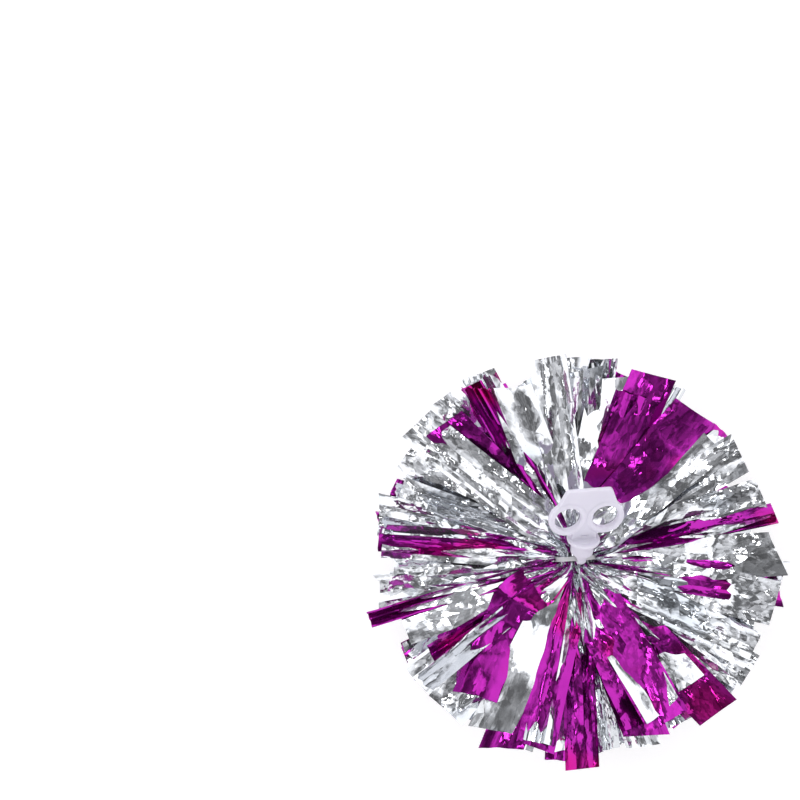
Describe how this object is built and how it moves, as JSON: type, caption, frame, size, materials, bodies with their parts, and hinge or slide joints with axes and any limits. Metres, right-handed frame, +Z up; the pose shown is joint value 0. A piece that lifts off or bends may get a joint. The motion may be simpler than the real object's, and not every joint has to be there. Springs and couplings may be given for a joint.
{
  "type": "cheer pom pom",
  "caption": "Round two-colour pom pom of slit mirror film pinched by a cable tie, with a white two-ring finger handle that flops and rolls on the tie.",
  "frame": {"origin": "centre of the pom on the surface it stands on, straight below the pinch of the film", "axes": "+Z up along the pom's own axis, with the handle on top; +Y towards which the resting handle leans; +X along the strap where it passes the handle's eye"},
  "size_m": [0.3358, 0.336, 0.1858],
  "materials": {
    "silver_film": "polished",
    "magenta_film": "polished",
    "white_plastic": "satin",
    "tie_nylon": "satin"
  },
  "bodies": {
    "foil": {"silver_sheet_01": "silver_film", "silver_sheet_02": "silver_film", "silver_sheet_03": "silver_film", "silver_sheet_04": "silver_film", "silver_sheet_05": "silver_film", "silver_sheet_06": "silver_film", "silver_sheet_07": "silver_film", "silver_sheet_08": "silver_film", "silver_sheet_09": "silver_film", "silver_sheet_10": "silver_film", "silver_sheet_11": "silver_film", "silver_sheet_12": "silver_film", "magenta_sheet_01": "magenta_film", "magenta_sheet_02": "magenta_film", "magenta_sheet_03": "magenta_film", "magenta_sheet_04": "magenta_film", "magenta_sheet_05": "magenta_film", "magenta_sheet_06": "magenta_film", "magenta_sheet_07": "magenta_film", "magenta_sheet_08": "magenta_film", "magenta_sheet_09": "magenta_film", "magenta_sheet_10": "magenta_film"},
    "tie": {"cable_tie": "tie_nylon"},
    "handle": {"handle": "white_plastic"}
  },
  "joints": [
    {"name": "tie_roll", "type": "hinge", "parent": "foil", "child": "tie", "pos_m": [0, 0, 0.125], "axis": [0, 1, 0], "range_deg": [-34, 6]},
    {"name": "handle_flop", "type": "hinge", "parent": "tie", "child": "handle", "pos_m": [0.00402, 0, 0.14111], "axis": [0.9703, 0, -0.2419], "range_deg": [0, 108]}
  ]
}
